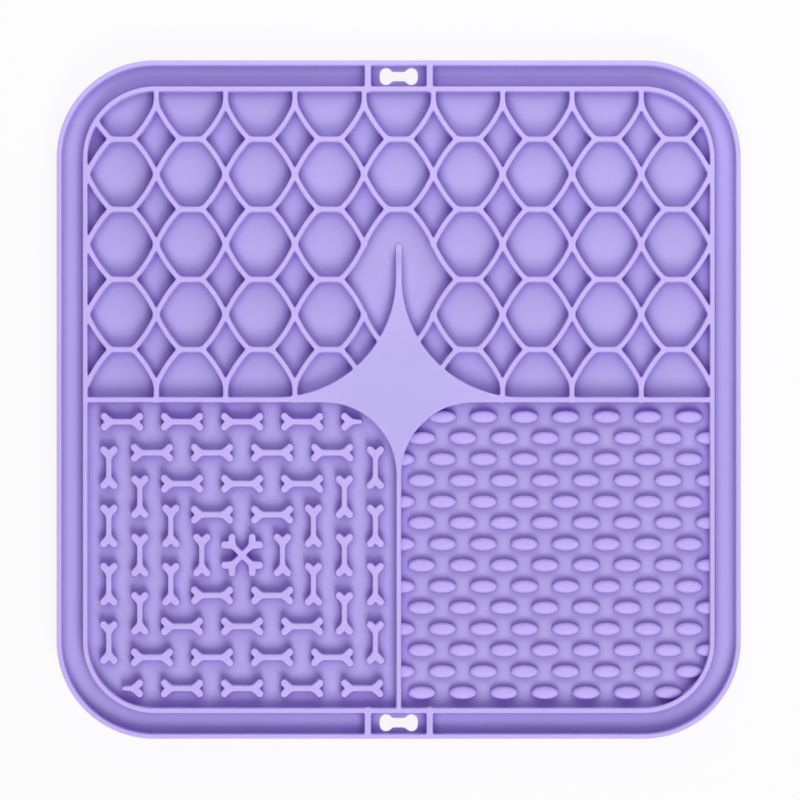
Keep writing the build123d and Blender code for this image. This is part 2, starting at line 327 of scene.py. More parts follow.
class WallField:
    """Plan of walls that melt into one another, as a distance field on a grid."""

    def __init__(self, low: Point, high: Point, step: float, soft: float) -> None:
        """Starts an empty plan.

        Args:
            low: Lowest corner of the grid.
            high: Highest corner of the grid.
            step: Distance between grid lines.
            soft: How softly walls run into one another, about half the radius of the corner between them.
        """
        self.step = step
        self.soft = soft
        self.x = np.arange(low[0], high[0] + step / 2, step)
        self.y = np.arange(low[1], high[1] + step / 2, step)
        self.total = np.zeros((len(self.y), len(self.x)))

    def add(self, distance: Distance, low: Point | None = None, high: Point | None = None) -> None:
        """Adds a wall to the plan.

        Args:
            distance: Signed distance to the wall.
            low: Lowest corner of the wall's surroundings, or None for the whole grid.
            high: Highest corner of the wall's surroundings.
        """
        columns = slice(None)
        rows = slice(None)
        if low is not None and high is not None:
            columns = slice(*np.searchsorted(self.x, (low[0], high[0])))
            rows = slice(*np.searchsorted(self.y, (low[1], high[1])))
        x, y = np.meshgrid(self.x[columns], self.y[rows])
        self.total[rows, columns] += np.exp(-distance(x, y) / self.soft)

    def outlines(self, tolerance: float, longest: float) -> list[Outline]:
        """Outlines of the walls, with the wall always on the left.

        Args:
            tolerance: How far the outline may leave the field's own line.
            longest: Longest side of an outline.

        Returns:
            The outer outline first, anticlockwise, then the holes, clockwise.
        """
        level = -self.soft * np.log(np.maximum(self.total, LEAST_SUM))
        slope_y, slope_x = np.gradient(level, self.step)
        loops = [divide(thin_out(loop, tolerance), longest) for loop in self._trace(level)]
        loops.sort(key=lambda loop: -abs(signed_area(loop)))
        made = []
        for number, loop in enumerate(loops):
            wanted = 1 if number == 0 else -1
            points = loop if signed_area(loop) * wanted > 0 else loop[::-1]
            inward = -np.stack([self._sample(slope_x, points), self._sample(slope_y, points)], axis=1)
            made.append(Outline(points, inward / np.linalg.norm(inward, axis=1)[:, None]))
        return made

    def _sample(self, values: np.ndarray, points: np.ndarray) -> np.ndarray:
        """Reads a grid at points between its lines.

        Args:
            values: Values on the grid.
            points: The points, one a row.

        Returns:
            One value a point.
        """
        across, up = ((points - (self.x[0], self.y[0])) / self.step).T
        column, row = across.astype(int), up.astype(int)
        across, up = across - column, up - row
        lower = values[row, column] * (1 - across) + values[row, column + 1] * across
        upper = values[row + 1, column] * (1 - across) + values[row + 1, column + 1] * across
        return lower * (1 - up) + upper * up

    def _trace(self, level: np.ndarray) -> Iterable[np.ndarray]:
        """Follows the zero line of the field from grid side to grid side.

        Args:
            level: The field's distances.

        Returns:
            One closed line at a time.
        """
        inside = level < 0
        links: dict[tuple[int, int, int], list[tuple[int, int, int]]] = {}
        mixed = inside[:-1, :-1].astype(int) + inside[:-1, 1:] + inside[1:, :-1] + inside[1:, 1:]
        for row, column in np.argwhere((mixed > 0) & (mixed < 4)):
            below, above = (0, row, column), (0, row + 1, column)
            left, right = (1, row, column), (1, row, column + 1)
            corners = inside[row : row + 2, column : column + 2]
            crossed = [
                side
                for side, pair in (
                    (below, corners[0]),
                    (right, corners[:, 1]),
                    (above, corners[1]),
                    (left, corners[:, 0]),
                )
                if pair[0] != pair[1]
            ]
            if len(crossed) == 4:
                joined = level[row : row + 2, column : column + 2].mean() < 0
                if joined == bool(corners[0, 0]):
                    pairs = [(below, right), (above, left)]
                else:
                    pairs = [(left, below), (right, above)]
            else:
                pairs = [(crossed[0], crossed[1])]
            for one, other in pairs:
                links.setdefault(one, []).append(other)
                links.setdefault(other, []).append(one)
        while links:
            first = here = next(iter(links))
            line = []
            while here in links:
                line.append(self._crossing(level, here))
                ahead = links.pop(here)
                here = next((side for side in ahead if side in links), first)
            yield np.array(line)

    def _crossing(self, level: np.ndarray, side: tuple[int, int, int]) -> Point:
        """Finds the point where the zero line crosses one side of the grid.

        Args:
            level: The field's distances.
            side: Whether the side is upright, and the row and column where it starts.

        Returns:
            The point.
        """
        upright, row, column = side
        start = level[row, column]
        end = level[row + upright, column + 1 - upright]
        part = start / (start - end) * self.step
        return self.x[column] + (1 - upright) * part, self.y[row] + upright * part


@dataclass(frozen=True)
class WallFoot:
    """Fillet between a wall and the sheet, with a skirt that reaches into the sheet."""

    radius: float
    sunk: float
    skirt: float = 0.08
    middle: Point = (0.4, 0.3)

    def points(self, floor: float) -> tuple[Point, ...]:
        """Points of the foot, as insets and heights, from inside the sheet to the side of the wall.

        Args:
            floor: Height of the top of the sheet.

        Returns:
            The points from below to above.
        """
        r = self.radius
        halfway = (-self.middle[0] * r, floor + self.middle[1] * r)
        return (-r - self.skirt, floor - self.sunk), (-r, floor), halfway, (0, floor + r)


@dataclass(frozen=True)
class EdgeProfile:
    """Section of a wall from its foot to its top, as insets from the plan and heights in millimetres."""

    points: tuple[Point, ...]

    @staticmethod
    def round_over(inset: float, height: float, radius: float, steps: int = 4) -> tuple[Point, ...]:
        """Points of a rounded top edge, from the side of the wall to its flat top.

        Args:
            inset: Inset of the wall's side where the rounding starts.
            height: Height of the flat top.
            radius: Radius of the rounding.
            steps: Number of facets.

        Returns:
            The points from the side to the top.
        """
        turns = [math.pi / 2 * step / steps for step in range(steps + 1)]
        return tuple(
            (inset + radius * (1 - math.cos(turn)), height - radius * (1 - math.sin(turn))) for turn in turns
        )

    @classmethod
    def standing(
        cls, floor: float, top: float, foot: WallFoot, draft: float, top_r: float
    ) -> "EdgeProfile":
        """Section of a wall that stands on the sheet, with draft and a rounded top.

        Args:
            floor: Height of the top of the sheet.
            top: Height of the wall's flat top.
            foot: How the wall meets the sheet.
            draft: How far the side leans in up to the rounding.
            top_r: Radius of the rounding.

        Returns:
            The section.
        """
        return cls((*foot.points(floor), *cls.round_over(draft, top, top_r)))

    def normals(self) -> np.ndarray:
        """Normals along the section, upright at both flats.

        Returns:
            Unit normals, as inward and upward parts.
        """
        line = np.array(self.points)
        run = np.diff(line, axis=0)
        faces = np.stack([-run[:, 1], run[:, 0]], axis=1)
        faces /= np.linalg.norm(faces, axis=1)[:, None]
        made = np.vstack([[0, -1], faces[:-1] + faces[1:], [0, 1]])
        return made / np.linalg.norm(made, axis=1)[:, None]


class Shell:
    """Closed mesh that is put together from lofted walls, caps and copies of other shells."""

    def __init__(self) -> None:
        """Starts an empty shell."""
        self.points = np.zeros((0, 3))
        self.normals = np.zeros((0, 3))
        self.rise = np.zeros(0)
        self.faces: list[tuple[int, ...]] = []

    def add_points(self, points: np.ndarray, normals: np.ndarray, rise: float | np.ndarray) -> np.ndarray:
        """Adds points.

        Args:
            points: The points.
            normals: Their normals.
            rise: How far up they are between the foot and the top of their shape, from 0 to 1.

        Returns:
            The numbers of the points.
        """
        first = len(self.points)
        self.points = np.vstack([self.points, points])
        self.normals = np.vstack([self.normals, normals])
        self.rise = np.concatenate([self.rise, np.broadcast_to(rise, len(points))])
        return np.arange(first, len(self.points))

    def bridge(self, lower: np.ndarray, upper: np.ndarray) -> None:
        """Closes the strip between two rings of the same count."""
        for one, two, three, four in zip(lower, np.roll(lower, -1), np.roll(upper, -1), upper):
            self.faces.append((int(one), int(two), int(three), int(four)))

    def loft(self, outline: Outline, profile: EdgeProfile) -> tuple[np.ndarray, np.ndarray]:
        """Raises a wall's side over an outline.

        Args:
            outline: Closed plan line.
            profile: Section of the wall.

        Returns:
            The numbers of the lowest and of the highest ring.
        """
        rings = []
        foot, top = profile.points[0][1], profile.points[-1][1]
        for (inset, height), (into, up) in zip(profile.points, profile.normals()):
            plan = outline.points + outline.inward * inset
            level = np.full((len(plan), 1), height)
            lean = np.hstack([outline.inward * into, np.full((len(plan), 1), up)])
            rings.append(self.add_points(np.hstack([plan, level]), lean, (height - foot) / (top - foot)))
        for lower, upper in zip(rings, rings[1:]):
            self.bridge(lower, upper)
        return rings[0], rings[-1]

    def cap(self, tops: Sequence[np.ndarray], feet: Sequence[np.ndarray]) -> None:
        """Closes the flats above and below lofted sides.

        Args:
            tops: Highest rings, the outer one and the holes in it.
            feet: Lowest rings, in the same order.
        """
        upper = np.concatenate(tops)
        lower = np.concatenate(feet)
        edges = []
        first = 0
        for ring in tops:
            numbers = range(first, first + len(ring))
            edges += [(number, first + (number + 1 - first) % len(ring)) for number in numbers]
            first += len(ring)
        plan = [Vector(point) for point in self.points[upper][:, :2]]
        _, _, faces, sources, _, _ = delaunay_2d_cdt(plan, edges, [], 0, LEAST_GAP, True)
        if len(sources) != len(plan):
            LOG.warning("cap has %d points for %d of its rings", len(sources), len(plan))
        triangles = []
        for face in faces:
            one, two, three = (sources[corner][0] for corner in face)
            side_one, side_two = plan[two] - plan[one], plan[three] - plan[one]
            clockwise = side_one.x * side_two.y < side_one.y * side_two.x
            triangles.append((one, three, two) if clockwise else (one, two, three))
        for one, two, three in self._left_of(edges, triangles):
            self.faces.append((int(upper[one]), int(upper[two]), int(upper[three])))
            self.faces.append((int(lower[one]), int(lower[three]), int(lower[two])))

    @staticmethod
    def _left_of(edges: Sequence[Edge], triangles: Sequence[Triangle]) -> list[Triangle]:
        """Picks the triangles that lie on the left of closed lines.

        Args:
            edges: Directed edges of the lines.
            triangles: Anticlockwise triangles that fill the plan and keep to the edges.

        Returns:
            The triangles between the lines and the next line to their left.
        """
        walls = set(edges)
        sides = [(triangle, triangle[1:] + triangle[:1]) for triangle in triangles]
        owner = {pair: number for number, (starts, ends) in enumerate(sides) for pair in zip(starts, ends)}
        todo = [owner[edge] for edge in edges if edge in owner]
        chosen = set(todo)
        while todo:
            starts, ends = sides[todo.pop()]
            for start, end in zip(starts, ends):
                beyond = owner.get((end, start))
                if beyond is not None and beyond not in chosen and (start, end) not in walls:
                    chosen.add(beyond)
                    todo.append(beyond)
        return [triangles[number] for number in sorted(chosen)]

    def stamp(self, other: "Shell", middle: Point, turn: float = 0.0) -> np.ndarray:
        """Adds a copy of another shell.

        Args:
            other: Shell to copy.
            middle: Place of the copy's own middle in plan.
            turn: Turn about the upright axis, in degrees.

        Returns:
            The numbers of the copy's points.
        """
        cos, sin = math.cos(math.radians(turn)), math.sin(math.radians(turn))
        spin = np.array([[cos, sin, 0], [-sin, cos, 0], [0, 0, 1]])
        shift = np.array([middle[0], middle[1], 0])
        first = len(self.points)
        numbers = self.add_points(other.points @ spin + shift, other.normals @ spin, other.rise)
        self.faces += [tuple(first + corner for corner in face) for face in other.faces]
        return numbers

    def to_object(self, name: str, material: bpy.types.Material, exact: bool = True) -> bpy.types.Object:
        """Makes a mesh object of the shell.

        Args:
            name: Name of the piece.
            material: Its finish.
            exact: Whether the shell's own normals shade it.

        Returns:
            The object, linked to the scene.
        """
        mesh = bpy.data.meshes.new(name)
        mesh.from_pydata((self.points * MM).tolist(), [], self.faces)
        mesh.shade_smooth()
        if exact:
            mesh.normals_split_custom_set_from_vertices(self.normals.tolist())
        mesh.attributes.new(RISE, "FLOAT", "POINT").data.foreach_set("value", self.rise)
        mesh.materials.append(material)
        made = bpy.data.objects.new(name, mesh)
        bpy.context.scene.collection.objects.link(made)
        return made


class NodeBench:
    """Short way to set up the nodes of a material or a group."""

    def __init__(self, tree: bpy.types.NodeTree) -> None:
        """Takes the tree that the nodes go into."""
        self.tree = tree

    @classmethod
    def emptied(cls, owner: bpy.types.Material | bpy.types.World) -> "NodeBench":
        """Starts afresh on the nodes of a material or a world.

        Args:
            owner: The material or the world.

        Returns:
            A bench for its empty tree.
        """
        owner.use_nodes = True
        owner.node_tree.nodes.clear()
        return cls(owner.node_tree)

    def node(self, kind: str, **values: object) -> bpy.types.Node:
        """Adds a node.

        Args:
            kind: Blender's name of the node type.
            **values: Properties of the node, or values of inputs whose name has _ for a space.

        Returns:
            The node.
        """
        made = self.tree.nodes.new(kind)
        for key, value in values.items():
            if hasattr(made, key):
                setattr(made, key, value)
            else:
                made.inputs[key.replace("_", " ")].default_value = value
        return made

    def link(self, source: bpy.types.NodeSocket, target: bpy.types.NodeSocket) -> None:
        """Joins an output to an input."""
        self.tree.links.new(source, target)

    def feed(self, target: bpy.types.NodeSocket, value: Feed) -> None:
        """Joins an output to an input, or sets the input to a constant.

        Args:
            target: The input.
            value: The output or the constant.
        """
        if isinstance(value, bpy.types.NodeSocket):
            self.link(value, target)
        else:
            target.default_value = value

    def mix(self, one: Feed, other: Feed, share: Feed, way: str = "MIX") -> bpy.types.NodeSocket:
        """Mixes two colours.

        Args:
            one: First colour.
            other: Second colour.
            share: Share of the second colour.
            way: Blender's name of the way they mix.

        Returns:
            The mixed colour.
        """
        made = self.node("ShaderNodeMix", data_type="RGBA", blend_type=way)
        for target, value in (("Factor", share), (MIX_ONE, one), (MIX_OTHER, other)):
            self.feed(made.inputs[target], value)
        return made.outputs[MIX_RESULT]


class MouldEffects:
    """Shader node groups that the silicone finishes share."""

    cloud_range: Point = (0.3, 0.7)

    def __init__(self) -> None:
        """Builds each group once."""
        self.grain = self._grain()
        self.mottle = self._mottle()
        # self.edge holds the group that paints light on the tops and shade on the lower sides
        self.edge = self._paint_top_glow()
        # self.foot holds the group that paints shade into corners
        self.foot = self._paint_corner_shade()

    @staticmethod
    def _group(
        name: str, inputs: Mapping[str, Socket], outputs: Mapping[str, Socket]
    ) -> tuple[NodeBench, Sockets, Sockets]:
        """Starts a group with named sockets.

        Args:
            name: Name of the group.
            inputs: Its inputs and their kinds.
            outputs: Its outputs and their kinds.

        Returns:
            A bench for the group's nodes, the sockets that give its inputs and those that take its outputs.
        """
        tree = bpy.data.node_groups.new(name, "ShaderNodeTree")
        for way, sockets in (("INPUT", inputs), ("OUTPUT", outputs)):
            for label, kind in sockets.items():
                tree.interface.new_socket(label, in_out=way, socket_type=kind.value)
        bench = NodeBench(tree)
        return bench, bench.node("NodeGroupInput").outputs, bench.node("NodeGroupOutput").inputs

    def _grain(self) -> bpy.types.NodeTree:
        """Fine spark-eroded grain of the mould, as a height for bump.

        Returns:
            The group.
        """
        scale = {"Grain Scale": Socket.VALUE}
        bench, given, made = self._group("mould_grain", scale, {"Height": Socket.VALUE})
        place = bench.node("ShaderNodeTexCoord")
        pits = bench.node("ShaderNodeTexNoise", Detail=3.0, Roughness=0.6)
        bench.link(place.outputs["Object"], pits.inputs["Vector"])
        bench.link(given["Grain Scale"], pits.inputs["Scale"])
        bench.link(pits.outputs["Fac"], made["Height"])
        return bench.tree

    def _paint_top_glow(self) -> bpy.types.NodeTree:
        """Painted light and shade: paler colour towards the top of a shape and deeper colour towards its
        foot, standing in for light that shines through lit silicone.

        Returns:
            The group.
        """
        colours = dict.fromkeys(("Foot Colour", "Top Colour"), Socket.COLOUR)
        rises = dict.fromkeys(("Foot Rise", "Top Rise"), Socket.VALUE)
        bench, given, made = self._group("painted_top_glow", colours | rises, {"Colour": Socket.COLOUR})
        height = bench.node("ShaderNodeAttribute", attribute_name=RISE)
        rise = bench.node("ShaderNodeMapRange", interpolation_type="SMOOTHSTEP")
        bench.link(height.outputs["Fac"], rise.inputs["Value"])
        bench.link(given["Foot Rise"], rise.inputs["From Min"])
        bench.link(given["Top Rise"], rise.inputs["From Max"])
        colour = bench.mix(given["Foot Colour"], given["Top Colour"], rise.outputs["Result"])
        bench.link(colour, made["Colour"])
        return bench.tree

    def _paint_corner_shade(self) -> bpy.types.NodeTree:
        """Painted shade: deeper colour where ambient occlusion finds walls close by, as in the angle between
        a wall and the floor.

        Returns:
            The group.
        """
        colours = dict.fromkeys(("Colour", "Deep Colour"), Socket.COLOUR)
        bench, given, made = self._group(
            "painted_corner_shade", colours | {"Reach": Socket.VALUE}, {"Colour": Socket.COLOUR}
        )
        open_sky = bench.node("ShaderNodeAmbientOcclusion", samples=8)
        bench.link(given["Reach"], open_sky.inputs["Distance"])
        shade = bench.mix(given["Deep Colour"], WHITE, open_sky.outputs["AO"])
        bench.link(bench.mix(given["Colour"], shade, 1.0, "MULTIPLY"), made["Colour"])
        return bench.tree

    def _mottle(self) -> bpy.types.NodeTree:
        """Faint clouding of colour and gloss, as poured silicone has.

        Returns:
            The group.
        """
        values = dict.fromkeys(("Cloud Shade", "Cloud Scale", "Smooth", "Rough"), Socket.VALUE)
        bench, given, made = self._group(
            "silicone_mottle",
            {"Colour": Socket.COLOUR} | values,
            {"Colour": Socket.COLOUR, "Roughness": Socket.VALUE},
        )
        place = bench.node("ShaderNodeTexCoord")
        cloud = bench.node("ShaderNodeTexNoise", Detail=2.0, Roughness=0.5)
        colour = bench.node("ShaderNodeVectorMath", operation="SCALE")
        bench.link(place.outputs["Object"], cloud.inputs["Vector"])
        bench.link(given["Cloud Scale"], cloud.inputs["Scale"])
        bench.link(given["Colour"], colour.inputs["Vector"])
        bench.link(self._clouded(bench, cloud, 1.0, given["Cloud Shade"]), colour.inputs["Scale"])
        bench.link(colour.outputs["Vector"], made["Colour"])
        bench.link(self._clouded(bench, cloud, given["Smooth"], given["Rough"]), made["Roughness"])
        return bench.tree

    def _clouded(
        self, bench: NodeBench, cloud: bpy.types.Node, low: Feed, high: Feed
    ) -> bpy.types.NodeSocket:
        """Lets a value run between two others with the clouds.

        Args:
            bench: Nodes of the group.
            cloud: Noise that makes the clouds.
            low: Value between the clouds.
            high: Value inside them.

        Returns:
            The value over the surface.
        """
        start, end = self.cloud_range
        made = bench.node("ShaderNodeMapRange", From_Min=start, From_Max=end)
        for label, value in (("Value", cloud.outputs["Fac"]), ("To Min", low), ("To Max", high)):
            bench.feed(made.inputs[label], value)
        return made.outputs["Result"]


@dataclass(frozen=True)
class SiliconeFinish:
    """One moulded silicone surface, with linear colours at the foot and the top of its shapes, which paint
    light and shade by height.
    """

    name: str
    # On walls, bones and nubs the deeper foot colour is painted shade and the paler top colour is painted
    # light
    foot: Colour
    top: Colour
    foot_rise: float = 0.72
    top_rise: float = 0.98
    smooth: float = 0.42
    rough: float = 0.52
    cloud_mm: float = 35.0
    cloud_shade: float = 0.97
    grain_mm: float = 0.5
    grain_depth_mm: float = 0.02
    grain_strength: float = 0.5
    glow_weight: float = 0.5
    glow_mm: float = 1.2
    glow_radius: Colour = (1.0, 0.9, 1.0)
    # Colour of the painted shade in corners, and how far the occlusion that places it reaches
    painted_shade: Colour = (0.36, 0.15, 0.58)
    painted_shade_mm: float = 2.5
    shine: float = 0.2
    # Painted shade round the middle of the mat, where the broad star lies, and the distances over which it
    # fades
    middle: Colour | None = None
    star_shade_mm: tuple[float, float] = (17.0, 34.0)

    def material(self, effects: MouldEffects) -> bpy.types.Material:
        """Builds the material.

        Args:
            effects: Node groups that the finishes share.

        Returns:
            The material.
        """
        made = bpy.data.materials.new(self.name)
        bench = NodeBench.emptied(made)
        end = bench.node("ShaderNodeOutputMaterial")
        skin = bench.node(
            "ShaderNodeBsdfPrincipled",
            Specular_IOR_Level=self.shine,
            Subsurface_Weight=self.glow_weight,
            Subsurface_Radius=self.glow_radius,
            Subsurface_Scale=self.glow_mm * MM,
        )
        # Painted light and shade: colour runs from the deeper foot to the paler top of each shape
        edge = bench.node(
            "ShaderNodeGroup",
            node_tree=effects.edge,
            Foot_Colour=(*self.foot, 1),
            Top_Colour=(*self.top, 1),
            Foot_Rise=self.foot_rise,
            Top_Rise=self.top_rise,
        )
        mottle = bench.node(
            "ShaderNodeGroup",
            node_tree=effects.mottle,
            Cloud_Scale=1 / (self.cloud_mm * MM),
            Cloud_Shade=self.cloud_shade,
            Smooth=self.smooth,
            Rough=self.rough,
        )
        # Painted shade in corners, placed by ambient occlusion
        foot = bench.node(
            "ShaderNodeGroup", node_tree=effects.foot, Deep_Colour=(*self.painted_shade, 1), Reach=self.painted_shade_mm * MM
        )
        grain = bench.node("ShaderNodeGroup", node_tree=effects.grain, Grain_Scale=1 / (self.grain_mm * MM))
        bump = bench.node("ShaderNodeBump", Strength=self.grain_strength, Distance=self.grain_depth_mm * MM)
        for source, target in (
            (self._with_star_shade(bench, edge.outputs["Colour"]), mottle.inputs["Colour"]),
            (mottle.outputs["Colour"], foot.inputs["Colour"]),
            (foot.outputs["Colour"], skin.inputs["Base Color"]),
            (mottle.outputs["Roughness"], skin.inputs["Roughness"]),
            (grain.outputs["Height"], bump.inputs["Height"]),
            (bump.outputs["Normal"], skin.inputs["Normal"]),
            (skin.outputs["BSDF"], end.inputs["Surface"]),
        ):
            bench.link(source, target)
        return made

    def _with_star_shade(self, bench: NodeBench, colour: bpy.types.NodeSocket) -> bpy.types.NodeSocket:
        """Adds painted shade round the middle of the mat, if the finish has it: a deeper colour that keeps
        the broad star darker than the thin wall tops, which are painted light.

        Args:
            bench: Nodes of the material.
            colour: Colour elsewhere.

        Returns:
            The colour all over.
        """
        if self.middle is None:
            return colour
        place = bench.node("ShaderNodeTexCoord")
        away = bench.node("ShaderNodeVectorMath", operation="LENGTH")
        near, far = self.star_shade_mm
        reach = bench.node("ShaderNodeMapRange", From_Min=near * MM, From_Max=far * MM)
        bench.link(place.outputs["Object"], away.inputs["Vector"])
        bench.link(away.outputs["Value"], reach.inputs["Value"])
        return bench.mix((*self.middle, 1), colour, reach.outputs["Result"])


# On the walls, bones and nubs the paler top colour is painted light and the deeper foot colour painted shade;
# the second colour set for corners is painted shade there, and the walls' colour for the middle of the mat
# paints shade on the star
SHEET_FINISH = SiliconeFinish("silicone_sheet", (0.51, 0.39, 0.82), (0.555, 0.51, 0.83))
WALL_FINISH = SiliconeFinish(
    "silicone_walls", (0.56, 0.46, 0.89), (0.66, 0.59, 0.98), painted_shade=(0.7, 0.55, 0.8), middle=(0.60, 0.57, 0.91)
)
BONE_FINISH = SiliconeFinish("silicone_bones", (0.52, 0.42, 0.86), (0.65, 0.585, 0.98), painted_shade=(0.8, 0.7, 0.9))
NUB_FINISH = SiliconeFinish(
    "silicone_nubs", (0.54, 0.44, 0.88), (0.63, 0.565, 0.965), 0.4, 0.95, painted_shade=(0.85, 0.75, 0.9)
)
CUP_FINISH = SiliconeFinish(
    "silicone_cups", (0.55, 0.48, 0.86), (0.50, 0.43, 0.83), 0.1, 0.9, 0.18, 0.26, grain_depth_mm=0.005
)


def settle(piece: bpy.types.Object, nodes: Sequence[str]) -> bpy.types.Object:
    """Lets a piece ride on the mat in place of CAD nodes.

    Args:
        piece: The piece.
        nodes: Names of the nodes that it stands for.

    Returns:
        The piece.
    """
    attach(piece, Body.MAT.value)
    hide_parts(*nodes)
    return piece


@dataclass
class FloorSheet:
    """The sheet under the moat and the panels, with a bone-shaped hole at each hanging place."""

    sizes: MatSizes
    inset_under_rim: float = 0.45
    edge_r: float = 0.3
    hole_length: float = 11.1
    hole_waist: float = 2.75
    hole_lobe_r: float = 1.84
    hole_lobe_spread: float = 1.26
    hole_soft: float = 0.25
    hole_step: float = 0.1
    line_tolerance: float = 0.01
    longest_side: float = 1.0
    corner_points: int = 25

    def build(self, material: bpy.types.Material) -> bpy.types.Object:
        """Lofts the edges of the sheet and of its holes and closes its two faces.

        Args:
            material: Finish of the sheet.

        Returns:
            The piece.
        """
        sizes = self.sizes
        shell = Shell()
        hole = self._hole()
        moat_y = (sizes.mat_half_y - sizes.wall_t + sizes.ring_half_y) / 2
        outlines = [self._outline(), hole.moved((0, moat_y)), hole.moved((0, -moat_y))]
        over = EdgeProfile.round_over(0, sizes.sheet_top, self.edge_r)
        under = [(inset, sizes.sheet_top + sizes.sheet_bottom - height) for inset, height in reversed(over)]
        profile = EdgeProfile((*under, *over))
        rings = [shell.loft(outline, profile) for outline in outlines]
        shell.cap([top for _, top in rings], [foot for foot, _ in rings])
        nodes = ("field_floor", "moat_floor_left", "moat_floor_right", "hang_tab_back", "hang_tab_front")
        return settle(shell.to_object("floor_sheet", material), nodes)

    def _outline(self) -> Outline:
        """Draws the edge of the sheet, hidden inside the rim.

        Returns:
            Its outline.
        """
        half_x = self.sizes.mat_half_x - self.inset_under_rim
        half_y = self.sizes.mat_half_y - self.inset_under_rim
        radius = self.sizes.mat_corner_r - self.inset_under_rim
        corner = np.radians(np.linspace(0, 90, self.corner_points))
        hubs, outward = [], []
        for quarter, (side_x, side_y) in enumerate(((1, 1), (-1, 1), (-1, -1), (1, -1))):
            turn = corner + quarter * math.pi / 2
            hubs += [(side_x * (half_x - radius), side_y * (half_y - radius))] * len(turn)
            outward.append(np.stack([np.cos(turn), np.sin(turn)], axis=1))
        away = np.vstack(outward)
        return Outline(np.array(hubs) + radius * away, -away)

    def _hole(self) -> Outline:
        """Draws a hanging hole round the origin.

        Returns:
            Its outline, with the sheet on the left.
        """
        lobe_x = self.hole_length / 2 - self.hole_lobe_r
        lobe_y = self.hole_lobe_spread / 2
        reach = (self.hole_length, self.hole_length / 2)
        plan = WallField((-reach[0], -reach[1]), reach, self.hole_step, self.hole_soft)
        waist_r = self.hole_waist / 2
        plan.add(lambda x, y: bar_distance(x, y, (-lobe_x, 0), (lobe_x, 0), waist_r))
        for side in (-1, 1):
            foot, head = (side * lobe_x, -lobe_y), (side * lobe_x, lobe_y)
            plan.add(lambda x, y, foot=foot, head=head: bar_distance(x, y, foot, head, self.hole_lobe_r))
        return plan.outlines(self.line_tolerance, self.longest_side)[0].turned_over()


